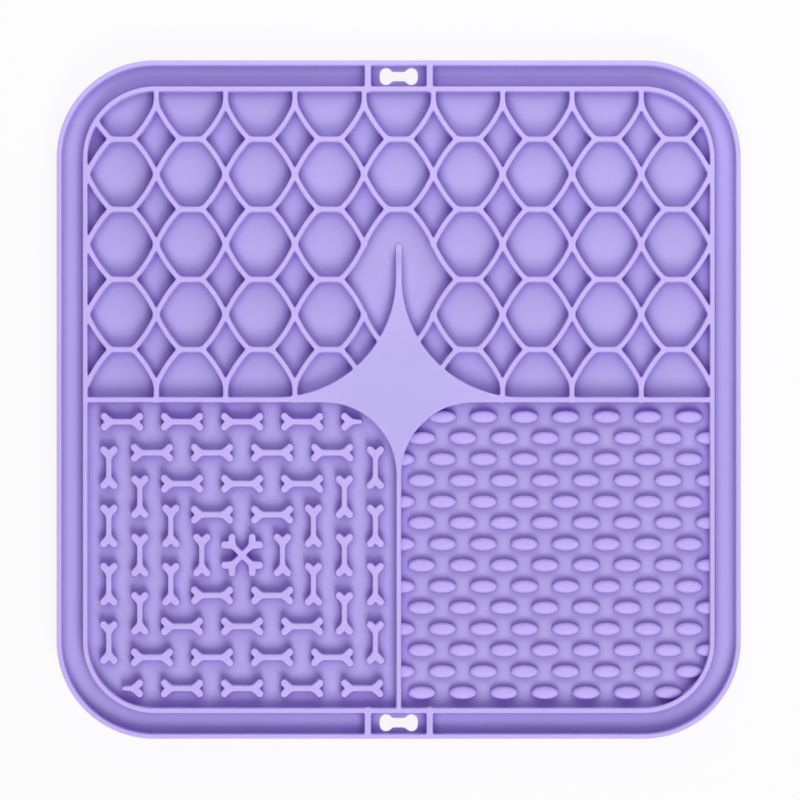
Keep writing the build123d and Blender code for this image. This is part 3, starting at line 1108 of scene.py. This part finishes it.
@dataclass
class WallWork:
    """Every wall that stands on the sheet: rim, ring wall, ribs, star, dividers and honeycomb."""

    sizes: MatSizes
    grid_step: float = 0.2
    grid_margin: float = 1.0
    corner_soft: float = 0.2
    surround: float = 4.0
    rib_t: float = 1.9
    rib_spacing: float = 18.1
    star_upper_r: float = 35.0
    spike_t: float = 1.76
    spike_length: float = 10.0
    spike_ramp: float = 9.0
    spike_tip_part: float = 0.04
    spike_reach: float = 2.0
    columns: int = 9
    rows: int = 5
    bar_length: float = 6.6
    bow: float = 0.56
    corner_bite: float = 0.2
    stub_t: float = 1.5
    stub_length: float = 3.7
    top_r: float = 0.32
    draft: float = 0.05
    rim_edge_r: float = 0.25
    rim_draft: float = 0.05
    rim_facets: int = 6
    rim_foot: tuple[Point, ...] = ((0.6, 0.02), (0.2, 0.08), (0.04, 0.25), (0, 0.6))
    foot: WallFoot = WallFoot(0.28, 0.4)
    line_tolerance: float = 0.012
    longest_side: float = 2.5
    plan: WallField = field(init=False)

    def build(self, material: bpy.types.Material) -> bpy.types.Object:
        """Draws the plan of the walls, lofts every side and closes the tops.

        Args:
            material: Finish of the walls.

        Returns:
            The piece.
        """
        reach = (self.sizes.mat_half_x + self.grid_margin, self.sizes.mat_half_y + self.grid_margin)
        self.plan = WallField((-reach[0], -reach[1]), reach, self.grid_step, self.corner_soft)
        self._draw_rings()
        self._draw_star()
        self._draw_cells()
        outlines = self.plan.outlines(self.line_tolerance, self.longest_side)
        shell = Shell()
        profiles = [self._rim_profile()] + [self._wall_profile()] * (len(outlines) - 1)
        rings = [shell.loft(outline, profile) for outline, profile in zip(outlines, profiles)]
        shell.cap([top for _, top in rings], [foot for foot, _ in rings])
        self._fade_spike(shell)
        LOG.info("walls stand round %d rooms", len(outlines) - 1)
        nodes = [
            "outer_rim", "ring_wall", "hang_ribs", "centre_star", "divider_left", "divider_right",
            "divider_front", "cell_bars", "cell_stubs",
        ]
        nodes += [f"cell_walls_{end}_{side}" for end in ("back", "front") for side in ("left", "right")]
        return settle(shell.to_object("wall_work", material), nodes)

    def _wall_profile(self) -> EdgeProfile:
        """Section of a wall towards a floor."""
        sizes = self.sizes
        return EdgeProfile.standing(sizes.sheet_top, sizes.wall_top, self.foot, self.draft, self.top_r)

    def _rim_profile(self) -> EdgeProfile:
        """Section of the rim's outer side, from the underside of the sheet.

        Returns:
            The section, rounded below and above.
        """
        foot = [(inset, self.sizes.sheet_bottom + height) for inset, height in self.rim_foot]
        top = EdgeProfile.round_over(self.rim_draft, self.sizes.wall_top, self.rim_edge_r, self.rim_facets)
        return EdgeProfile((*foot, *top))

    def _draw_rings(self) -> None:
        """Draws the rim, the ring wall and the four ribs between them."""
        sizes = self.sizes
        half_t = sizes.wall_t / 2
        mat_half = (sizes.mat_half_x, sizes.mat_half_y)
        ring_half = (sizes.ring_half_x, sizes.ring_half_y)
        for half, radius in ((mat_half, sizes.mat_corner_r), (ring_half, sizes.ring_corner_r)):

            def wall(x: np.ndarray, y: np.ndarray, half: Point = half, radius: float = radius) -> np.ndarray:
                """Distance to a wall just inside a rounded rectangle."""
                return np.abs(rounded_box_distance(x, y, half, radius) + half_t) - half_t

            self.plan.add(wall)
        for side_x in (-1, 1):
            for side_y in (-1, 1):
                rib_x = side_x * self.rib_spacing / 2
                self._draw_bar(
                    (rib_x, side_y * (sizes.ring_half_y - half_t)),
                    (rib_x, side_y * (sizes.mat_half_y - self.rib_t)),
                    self.rib_t,
                )

    def _draw_bar(self, start: Point, end: Point, thickness: float) -> None:
        """Draws a straight wall between two points."""
        self._draw_near(lambda x, y: bar_distance(x, y, start, end, thickness / 2), start, end)

    def _draw_near(self, wall: Distance, start: Point, end: Point) -> None:
        """Draws a wall in the part of the plan round its two ends.

        Args:
            wall: Signed distance to the wall.
            start: One end.
            end: The other end.
        """
        low = (min(start[0], end[0]) - self.surround, min(start[1], end[1]) - self.surround)
        high = (max(start[0], end[0]) + self.surround, max(start[1], end[1]) + self.surround)
        self.plan.add(wall, low, high)

    def _draw_star(self) -> None:
        """Draws the star with its spike and the dividers, which its arcs run into without a corner."""
        self.plan.add(self._star_distance)

    def _star_distance(self, x: np.ndarray, y: np.ndarray) -> np.ndarray:
        """Signed distance to the star, its spike and the dividers.

        Args:
            x: X of the points.
            y: Y of the points.

        Returns:
            The distances, negative inside.
        """
        sizes = self.sizes
        half_t = sizes.wall_t / 2
        spike_r = self.spike_t / 2
        spike_end = half_t + self.star_upper_r + self.spike_length - spike_r
        distance = bar_distance(x, y, (-sizes.panel_half_x, 0), (sizes.panel_half_x, 0), half_t)
        distance = np.minimum(distance, bar_distance(x, y, (0, 0), (0, -sizes.panel_half_y), half_t))
        distance = np.minimum(distance, bar_distance(x, y, (0, 0), (0, spike_end), spike_r))
        quarters = (
            (y >= 0, spike_r + self.star_upper_r, half_t + self.star_upper_r, self.star_upper_r),
            (y < 0, half_t + sizes.star_lower_r, -half_t - sizes.star_lower_r, sizes.star_lower_r),
        )
        for half, middle_x, middle_y, radius in quarters:
            near = half & (np.abs(x) <= middle_x) & (np.abs(y) <= abs(middle_y))
            to_arc = radius - np.hypot(np.abs(x) - middle_x, y - middle_y)
            distance = np.where(near, np.minimum(distance, to_arc), distance)
        return distance

    def _draw_cells(self) -> None:
        """Draws the bowed walls, bars and stubs of the honeycomb."""
        sizes = self.sizes
        depth = sizes.panel_half_y - sizes.wall_t / 2
        pitch_x = 2 * (sizes.panel_half_x + self.corner_bite) / self.columns
        pitch_y = (depth - 2 * self.stub_length) / (self.rows - 1)
        back_y = sizes.panel_half_y - self.stub_length
        reach = self.columns // 2
        open_row = self.rows // 2
        for row in range(self.rows):
            for column in range(-reach, reach + 1):
                middle = (column * pitch_x, back_y - row * pitch_y)
                if row < self.rows - 1 and (column, row) != (0, open_row):
                    self._draw_cell_half(middle, pitch_x, -pitch_y)
                    bar_y = middle[1] - pitch_y / 2
                    start = (middle[0] - self.bar_length / 2, bar_y)
                    self._draw_bar(start, (middle[0] + self.bar_length / 2, bar_y), sizes.wall_t)
                if row > 0 and (column, row) != (0, open_row + 1):
                    self._draw_cell_half(middle, pitch_x, pitch_y)
        for step in range(-reach, reach):
            stub_x = (step + 0.5) * pitch_x
            self._draw_bar((stub_x, back_y), (stub_x, sizes.panel_half_y), self.stub_t)
            self._draw_bar((stub_x, 0), (stub_x, sizes.wall_t / 2 + self.stub_length), self.stub_t)

    def _draw_cell_half(self, middle: Point, pitch_x: float, pitch_y: float) -> None:
        """Draws the two bowed walls of half a cell, cut off in the middle of the ring wall.

        Args:
            middle: Middle of the cell.
            pitch_x: Length of the cell.
            pitch_y: Width of the cell, negative for its front half.
        """
        sizes = self.sizes
        half_t = sizes.wall_t / 2
        ring_half = (sizes.ring_half_x - half_t, sizes.ring_half_y - half_t)
        ring_r = sizes.ring_corner_r - half_t
        for side in (-1, 1):
            corner = (middle[0] + side * pitch_x / 2, middle[1])
            shoulder = (middle[0] + side * self.bar_length / 2, middle[1] + pitch_y / 2)
            start, end = (corner, shoulder) if side * pitch_y > 0 else (shoulder, corner)

            def wall(x: np.ndarray, y: np.ndarray, start: Point = start, end: Point = end) -> np.ndarray:
                """Distance to one bowed wall inside the ring."""
                bowed = bow_distance(x, y, start, end, self.bow, half_t)
                return np.maximum(bowed, rounded_box_distance(x, y, ring_half, ring_r))

            self._draw_near(wall, start, end)

    def _fade_spike(self, shell: Shell) -> None:
        """Lets the end of the star's spike run down into the floor of its cell.

        Args:
            shell: The walls, whose points and normals are changed.
        """
        floor = self.sizes.sheet_top
        tip = self.sizes.wall_t / 2 + self.star_upper_r + self.spike_length
        x, y, z = shell.points.T
        chosen = (np.abs(x) < self.spike_reach) & (z > floor)
        chosen &= (y > tip - self.spike_ramp) & (y < tip + self.spike_reach)
        part = np.clip((tip - y[chosen]) / self.spike_ramp, 0, 1)
        scale = self.spike_tip_part + (1 - self.spike_tip_part) * part**2 * (3 - 2 * part)
        slope = -(1 - self.spike_tip_part) * 6 * part * (1 - part) / self.spike_ramp
        rise = z[chosen] - floor
        shell.points[chosen, 2] = floor + rise * scale
        lean = shell.normals[chosen]
        lean[:, 1] -= rise * slope / scale * lean[:, 2]
        lean[:, 2] /= scale
        shell.normals[chosen] = lean / np.linalg.norm(lean, axis=1)[:, None]


@dataclass
class BoneField:
    """The bones of the left front panel: a crossed pair and square rings of bones round it."""

    sizes: MatSizes
    length: float = 12.5
    crossed_length: float = 13.6
    stem_t: float = 1.65
    lobe_r: float = 1.05
    lobe_spread: float = 3.14
    half_tip_r: float = 0.62
    rings: int = 4
    first_offset: float = 11.8
    side_gap: float = 3.5
    front_gap: float = 3.1
    row_end_gap: float = 3.72
    grid_step: float = 0.1
    soft: float = 0.16
    top_r: float = 0.36
    draft: float = 0.05
    foot: WallFoot = WallFoot(0.25, 0.3)
    line_tolerance: float = 0.012
    longest_side: float = 2.0

    def build(self, material: bpy.types.Material) -> list[bpy.types.Object]:
        """Builds the crossed bones and the rings round them.

        Args:
            material: Finish of the bones.

        Returns:
            One piece for the crossed pair and one a ring.
        """
        middle = self.sizes.front_middle(Side.LEFT)
        crossed = Shell()
        self._raise(crossed, self._crossed_plan().moved(middle))
        pieces = [settle(crossed.to_object("crossed_bones_moulded", material), ["crossed_bones"])]
        whole, half = Shell(), Shell()
        self._raise(whole, self._bone_plan())
        self._raise(half, self._half_plan())
        for number in range(1, self.rings + 1):
            ring = Shell()
            self._set_ring(ring, number, whole, half)
            made = ring.to_object(f"bone_ring_{number}_moulded", material)
            pieces.append(settle(made, [f"bone_ring_{number}"]))
        return pieces

    def _raise(self, shell: Shell, outline: Outline) -> None:
        """Raises a bone over its outline and closes it.

        Args:
            shell: Shell that takes the bone.
            outline: Plan of the bone.
        """
        top = node_box("crossed_bones")[1][2]
        profile = EdgeProfile.standing(self.sizes.sheet_top, top, self.foot, self.draft, self.top_r)
        low, high = shell.loft(outline, profile)
        shell.cap([high], [low])

    def _draw_end(self, plan: WallField, length: float, side: int, turn: float = 0.0) -> None:
        """Draws the two lobes at one end of a bone.

        Args:
            plan: Field that takes them.
            length: Length of the whole bone.
            side: 1 for the end at the front of its direction, -1 for the other.
            turn: Direction of the bone in degrees.
        """
        lobe_x = length / 2 - self.lobe_r
        lobe_y = self.lobe_spread / 2
        cos, sin = math.cos(math.radians(turn)), math.sin(math.radians(turn))
        for across in (-lobe_y, lobe_y):
            root_x, tip_x = side * (lobe_x - lobe_y), side * lobe_x
            root = (root_x * cos, root_x * sin)
            tip = (tip_x * cos - across * sin, tip_x * sin + across * cos)
            plan.add(lambda x, y, root=root, tip=tip: bar_distance(x, y, root, tip, self.lobe_r))

    def _draw_stem(self, plan: WallField, length: float, turn: float = 0.0) -> None:
        """Draws the stem of a whole bone.

        Args:
            plan: Field that takes it.
            length: Length of the bone.
            turn: Direction of the bone in degrees.
        """
        reach = length / 2 - self.lobe_r - self.lobe_spread / 2
        end = (reach * math.cos(math.radians(turn)), reach * math.sin(math.radians(turn)))
        plan.add(lambda x, y: bar_distance(x, y, (-end[0], -end[1]), end, self.stem_t / 2))

    def _field(self) -> WallField:
        """Empty plan that is large enough for a bone in any direction."""
        reach = self.crossed_length / 2 + self.lobe_spread
        return WallField((-reach, -reach), (reach, reach), self.grid_step, self.soft)

    def _outline(self, plan: WallField) -> Outline:
        """Outline of the one shape in a plan."""
        return plan.outlines(self.line_tolerance, self.longest_side)[0]

    def _bone_plan(self) -> Outline:
        """Draws a whole bone along X.

        Returns:
            Its outline.
        """
        plan = self._field()
        self._draw_stem(plan, self.length)
        for side in (-1, 1):
            self._draw_end(plan, self.length, side)
        return self._outline(plan)

    def _half_plan(self) -> Outline:
        """Draws a bone that ends in a point at its middle, with its lobes towards +X.

        Returns:
            Its outline.
        """
        plan = self._field()
        reach = self.length / 2 - self.lobe_r - self.lobe_spread / 2
        tip = (self.half_tip_r, 0)
        plan.add(lambda x, y: bar_distance(x, y, tip, (reach, 0), self.half_tip_r, self.stem_t / 2))
        self._draw_end(plan, self.length, 1)
        return self._outline(plan)

    def _crossed_plan(self) -> Outline:
        """Draws two bones that cross at right angles.

        Returns:
            Their outline.
        """
        plan = self._field()
        for turn in (45, -45):
            self._draw_stem(plan, self.crossed_length, turn)
            for side in (-1, 1):
                self._draw_end(plan, self.crossed_length, side, turn)
        return self._outline(plan)

    def _set_ring(self, shell: Shell, number: int, whole: Shell, half: Shell) -> None:
        """Sets the bones of one ring, two of them halved in the last.

        Args:
            shell: Shell that takes the bones.
            number: Number of the ring, counted outwards from 1.
            whole: A whole bone along X.
            half: A halved bone.
        """
        middle_x, middle_y = self.sizes.front_middle(Side.LEFT)
        half_x, half_y = self.sizes.front_half
        half_w = self.lobe_spread / 2 + self.lobe_r
        last_x = half_x - self.side_gap - half_w
        last_y = half_y - self.front_gap - half_w
        row_pitch = 2 * (half_x - self.row_end_gap - self.length / 2) / self.rings
        column_gap = (2 * (last_y - half_w) - self.rings * self.length) / (self.rings + 1)
        column_pitch = self.length + column_gap
        step = (number - 1) / (self.rings - 1)
        column_x = self.first_offset + step * (last_x - self.first_offset)
        row_y = self.first_offset + step * (last_y - self.first_offset)
        for side in (-1, 1):
            for place in range(number + 1):
                x = (place - number / 2) * row_pitch
                cut = number == self.rings and place == (number if side > 0 else 0)
                at = (middle_x + x, middle_y + side * row_y)
                if cut:
                    shell.stamp(half, at, 180 if side > 0 else 0)
                else:
                    shell.stamp(whole, at)
            for place in range(number):
                y = (place - (number - 1) / 2) * column_pitch
                shell.stamp(whole, (middle_x + side * column_x, middle_y + y), 90)


@dataclass
class OvalField:
    """The oval nubs of the right front panel, in staggered rows that run into the walls."""

    sizes: MatSizes
    length: float = 8.2
    width: float = 3.68
    pitch_x: float = 12.03
    pitch_y: float = 6.21
    rows: int = 14
    overhang: float = 1.0
    fullness: float = 3.6
    facets: int = 36
    levels: int = 10
    flare: float = 1.03
    sunk: float = 0.25

    def build(self, material: bpy.types.Material) -> list[bpy.types.Object]:
        """Builds the odd and the even rows.

        Args:
            material: Finish of the nubs.

        Returns:
            One piece for the odd rows and one for the even rows.
        """
        nub = self._nub()
        pieces = []
        for first, name in ((0, "oval_nubs_odd_rows"), (1, "oval_nubs_even_rows")):
            shell = Shell()
            for middle in self._middles(first):
                numbers = shell.stamp(nub, middle)
                shell.points[numbers] = self._keep_inside(shell.points[numbers])
            pieces.append(settle(shell.to_object(f"{name}_moulded", material), [name]))
        return pieces

    def _nub(self) -> Shell:
        """Shapes one nub: an oval button with a full, soft top and a foot that flares into the floor.

        Returns:
            The nub, with its middle over the origin.
        """
        shell = Shell()
        floor = self.sizes.sheet_top
        rise = node_box("oval_nubs_odd_rows")[1][2] - floor
        turn = np.linspace(0, 2 * math.pi, self.facets, endpoint=False)
        along, across = self.length / 2 * np.cos(turn), self.width / 2 * np.sin(turn)
        lifts = [math.pi / 2 * level / self.levels for level in range(self.levels)]
        power = 2 / self.fullness
        sections = [(self.flare, -self.sunk)]
        sections += [(math.cos(lift) ** power, rise * math.sin(lift) ** power) for lift in lifts]
        rings = []
        for size, height in sections:
            points = np.stack([size * along, size * across, np.full(self.facets, floor + height)], axis=1)
            lean = np.stack(
                [
                    size ** (self.fullness - 1) * np.cos(turn) / self.length * 2,
                    size ** (self.fullness - 1) * np.sin(turn) / self.width * 2,
                    np.full(self.facets, (max(height, 0.0) / rise) ** (self.fullness - 1) / rise),
                ],
                axis=1,
            )
            part = (height + self.sunk) / (rise + self.sunk)
            rings.append(shell.add_points(points, lean / np.linalg.norm(lean, axis=1)[:, None], part))
        for lower, upper in zip(rings, rings[1:]):
            shell.bridge(lower, upper)
        crown = shell.add_points(np.array([[0, 0, floor + rise]]), np.array([[0, 0, 1.0]]), 1.0)
        for one, two in zip(rings[-1], np.roll(rings[-1], -1)):
            shell.faces.append((int(one), int(two), int(crown[0])))
        shell.faces.append(tuple(int(number) for number in rings[0][::-1]))
        return shell

    def _room(self, x: float, y: float) -> float:
        """Distance of a point from the room of the panel.

        Args:
            x: X of the point.
            y: Y of the point.

        Returns:
            The distance, negative inside the room.
        """
        sizes = self.sizes
        half_t = sizes.wall_t / 2
        half = (sizes.panel_half_x, sizes.panel_half_y)
        ring = float(rounded_box_distance(np.array(x), np.array(y), half, sizes.ring_corner_r - sizes.wall_t))
        distance = max(ring, half_t - x, y + half_t)
        foot = half_t + sizes.star_lower_r
        if x < foot and y > -foot:
            distance = max(distance, math.hypot(x - foot, y + foot) - sizes.star_lower_r)
        return distance

    def _middles(self, first: int) -> Iterable[Point]:
        """Middles of the nubs in every second row.

        Args:
            first: Number of the first row, counted from the star.

        Returns:
            One middle at a time.
        """
        middle_x, middle_y = self.sizes.front_middle(Side.RIGHT)
        shift = self.pitch_x / 4 if first == 0 else -self.pitch_x / 4
        reach = math.ceil(self.sizes.panel_half_x / self.pitch_x)
        for row in range(first, self.rows, 2):
            y = middle_y + ((self.rows - 1) / 2 - row) * self.pitch_y
            for column in range(-reach, reach + 1):
                x = middle_x + shift + column * self.pitch_x
                if self._room(x, y) < self.overhang:
                    yield x, y

    def _keep_inside(self, points: np.ndarray) -> np.ndarray:
        """Moves points that would stick out beyond a wall back to the middle of that wall.

        Args:
            points: Points of one nub.

        Returns:
            The points, none of them past the middle of a wall.
        """
        sizes = self.sizes
        kept = points.copy()
        kept[:, 0] = np.maximum(kept[:, 0], 0)
        kept[:, 1] = np.minimum(kept[:, 1], 0)
        half_t = sizes.wall_t / 2
        half = np.array([sizes.ring_half_x - half_t, sizes.ring_half_y - half_t])
        radius = sizes.ring_corner_r - half_t
        outward = np.array([1, -1])
        hub = outward * (half - radius)
        out = (kept[:, :2] - hub) * outward
        corner = np.all(out > 0, axis=1) & (np.hypot(*out.T) > radius)
        kept[corner, :2] = hub + outward * out[corner] * (radius / np.hypot(*out[corner].T))[:, None]
        kept[:, 0] = np.minimum(kept[:, 0], half[0])
        kept[:, 1] = np.maximum(kept[:, 1], -half[1])
        return kept


@dataclass
class SuctionCups:
    """The suction cups under the sheet, whose skirts give way between neck and lip."""

    sizes: MatSizes
    count: int = 5
    facets: int = 56
    radius: float = 9.0
    neck_r: float = 3.5
    lip_w: float = 0.9
    crown_t: float = 0.9
    bulge: float = 0.55
    neck_top: tuple[Point, ...] = ((-0.2, 0.15), (-0.05, -0.1))
    neck_root: tuple[Point, ...] = ((0.0, 0.15), (0.25, 0.02))
    lip_knee: float = 0.4
    lip_edge: tuple[Point, ...] = ((-0.12, 0.06), (-0.3, 0.0))
    skirt_points: int = 9

    def build(self, material: bpy.types.Material) -> bpy.types.Object:
        """Turns one cup and sets it out on the grid of the CAD lips.

        Args:
            material: Finish of the cups.

        Returns:
            The piece, set in place under the sheet.
        """
        cup = self._cup()
        high = node_box("cup_lips")[1]
        reach_x, reach_y = high[0] - self.radius, high[1] - self.radius
        shell = Shell()
        for x in np.linspace(-reach_x, reach_x, self.count):
            for y in np.linspace(-reach_y, reach_y, self.count):
                shell.stamp(cup, (x, y))
        piece = shell.to_object("suction_cups", material, exact=False)
        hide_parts("cup_necks", "cup_bells", "cup_lips")
        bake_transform(piece)
        return piece

    def _section(self) -> list[Point]:
        """Draws half the section of a cup.

        Returns:
            Radii and heights from the top of the neck round the lip to the middle of the hollow.
        """
        lip_top = node_box("cup_lips")[1][2]
        crown = node_box("cup_bells")[1][2]
        steps = np.linspace(0, 1, self.skirt_points)
        outer = [
            (
                self.neck_r + (self.radius - self.neck_r) * part,
                crown + (lip_top - crown) * part + 4 * self.bulge * part * (1 - part),
            )
            for part in steps[1:]
        ]
        inner_r = self.radius - self.lip_w
        hollow = [
            (inner_r * (1 - part), (crown - self.crown_t) * (1 - (1 - part) ** 2)) for part in steps[:-1]
        ]
        neck = [(self.neck_r + out, self.sizes.sheet_bottom + up) for out, up in self.neck_top]
        neck += [(self.neck_r + out, crown + up) for out, up in self.neck_root]
        lip = [(self.radius, lip_top * self.lip_knee)]
        lip += [(self.radius + out, up) for out, up in self.lip_edge]
        return [*neck, *outer, *lip, *hollow]

    def _cup(self) -> Shell:
        """Turns one cup about the upright axis.

        Returns:
            The cup, with its axis through the origin.
        """
        shell = Shell()
        turn = np.linspace(0, 2 * math.pi, self.facets, endpoint=False)
        rings = []
        for radius, height in reversed(self._section()):
            level = np.full(self.facets, height)
            points = np.stack([radius * np.cos(turn), radius * np.sin(turn), level], axis=1)
            rings.append(shell.add_points(points, np.zeros_like(points), height / self.sizes.sheet_bottom))
        for lower, upper in zip(rings, rings[1:]):
            shell.bridge(lower, upper)
        shell.faces.append(tuple(int(number) for number in rings[0][::-1]))
        shell.faces.append(tuple(int(number) for number in rings[-1]))
        return shell


@dataclass(frozen=True)
class Softbox:
    """Flat lamp, in metres and watts, that faces the middle of the mat."""

    name: str
    width: float
    height: float
    watts: float
    place: tuple[float, float, float]

    def build(self) -> None:
        """Hangs the lamp in the scene."""
        lamp = bpy.data.lights.new(self.name, "AREA")
        lamp.shape = "RECTANGLE"
        lamp.size = self.width
        lamp.size_y = self.height
        lamp.energy = self.watts
        made = bpy.data.objects.new(self.name, lamp)
        made.location = self.place
        made.rotation_euler = Vector(self.place).to_track_quat("Z", "Y").to_euler()
        bpy.context.scene.collection.objects.link(made)


@dataclass
class Studio:
    """Camera straight above the mat, white table, soft light from front and back and a pale sky."""

    sizes: MatSizes
    view_width: float = 233.75
    view_middle: Point = (0.37, -0.1)
    camera_height: float = 2000.0
    sensor: float = 36.0
    floor_size: float = 8.0
    floor_shade: float = 0.9
    floor_glow: float = 0.9
    front_light: Softbox = Softbox("front_softbox", 0.6, 0.6, 8.3, (0.12, -0.76, 0.93))
    back_light: Softbox = Softbox("back_softbox", 0.5, 0.3, 0.65, (0.05, 0.28, 0.25))
    sky_strength: float = 0.33
    sky_colour: Colour = (0.79, 0.6, 1.0)

    def build(self) -> None:
        """Sets up the camera, the table, the two lamps and the sky."""
        self._camera()
        self._floor()
        self.front_light.build()
        self.back_light.build()
        self._world()
        bpy.context.scene.view_settings.view_transform = "Standard"

    def _camera(self) -> None:
        """Camera that looks straight down with +Y up in the picture."""
        lens = bpy.data.cameras.new("overhead_camera")
        lens.sensor_width = self.sensor
        distance = self.camera_height - self.sizes.wall_top
        lens.lens = self.sensor * distance / self.view_width
        made = bpy.data.objects.new("overhead_camera", lens)
        made.location = (self.view_middle[0] * MM, self.view_middle[1] * MM, self.camera_height * MM)
        bpy.context.scene.collection.objects.link(made)
        bpy.context.scene.camera = made

    def _seen(self, bench: NodeBench) -> bpy.types.NodeSocket:
        """Mask of the rays that show the white of the studio.

        Args:
            bench: Nodes of the floor or the world.

        Returns:
            One for rays from the camera, off gloss and through glass, and else zero.
        """
        path = bench.node("ShaderNodeLightPath")
        mask = path.outputs["Is Camera Ray"]
        for ray in ("Is Glossy Ray", "Is Transmission Ray"):
            either = bench.node("ShaderNodeMath", operation="MAXIMUM")
            bench.link(mask, either.inputs[0])
            bench.link(path.outputs[ray], either.inputs[1])
            mask = either.outputs["Value"]
        return mask

    def _floor(self) -> None:
        """Pale table top that the camera sees as nearly white."""
        half = self.floor_size / 2
        corners = [(-half, -half, 0), (half, -half, 0), (half, half, 0), (-half, half, 0)]
        mesh = bpy.data.meshes.new("table_top")
        mesh.from_pydata(corners, [], [(0, 1, 2, 3)])
        made = bpy.data.objects.new("table_top", mesh)
        bpy.context.scene.collection.objects.link(made)
        made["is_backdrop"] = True
        material = bpy.data.materials.new("table_white")
        bench = NodeBench.emptied(material)
        end = bench.node("ShaderNodeOutputMaterial")
        paint = bench.node("ShaderNodeBsdfDiffuse", Color=(*[self.floor_shade] * 3, 1))
        glow = bench.node("ShaderNodeEmission", Color=WHITE, Strength=1.0)
        share = bench.node("ShaderNodeMath", operation="MULTIPLY")
        share.inputs[1].default_value = self.floor_glow
        mix = bench.node("ShaderNodeMixShader")
        bench.link(self._seen(bench), share.inputs[0])
        bench.link(share.outputs["Value"], mix.inputs["Fac"])
        bench.link(paint.outputs["BSDF"], mix.inputs[1])
        bench.link(glow.outputs["Emission"], mix.inputs[2])
        bench.link(mix.outputs["Shader"], end.inputs["Surface"])
        mesh.materials.append(material)

    def _world(self) -> None:
        """Even, faintly lavender sky, which the camera sees as white."""
        world = bpy.data.worlds.new("studio_sky")
        bpy.context.scene.world = world
        bench = NodeBench.emptied(world)
        end = bench.node("ShaderNodeOutputWorld")
        sky = bench.node("ShaderNodeBackground", Color=(*self.sky_colour, 1), Strength=self.sky_strength)
        white = bench.node("ShaderNodeBackground", Color=WHITE, Strength=1.0)
        mix = bench.node("ShaderNodeMixShader")
        bench.link(self._seen(bench), mix.inputs["Fac"])
        bench.link(sky.outputs["Background"], mix.inputs[1])
        bench.link(white.outputs["Background"], mix.inputs[2])
        bench.link(mix.outputs["Shader"], end.inputs["Surface"])


def write_sizes() -> None:
    """Puts the boxes of the CAD model and of the dressed model side by side, without keeping or writing them.
    """
    boxes = {"cad": CAD_BOX, "visual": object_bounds()}
    {name: [list(corner) for corner in box] for name, box in boxes.items()}


def main() -> None:
    """Builds the mat, one sub-assembly after another, and the studio round it."""
    logging.basicConfig(level=logging.INFO, format="%(name)s: %(message)s")
    sizes = MatSizes.from_frame()
    effects = MouldEffects()
    pieces = [
        FloorSheet(sizes).build(SHEET_FINISH.material(effects)),
        WallWork(sizes).build(WALL_FINISH.material(effects)),
    ]
    pieces += BoneField(sizes).build(BONE_FINISH.material(effects))
    pieces += OvalField(sizes).build(NUB_FINISH.material(effects))
    pieces.append(SuctionCups(sizes).build(CUP_FINISH.material(effects)))
    for piece in pieces:
        LOG.info("%s: %d points, %d faces", piece.name, len(piece.data.vertices), len(piece.data.polygons))
    Studio(sizes).build()


if __name__ == "__main__":
    main()
    write_sizes()
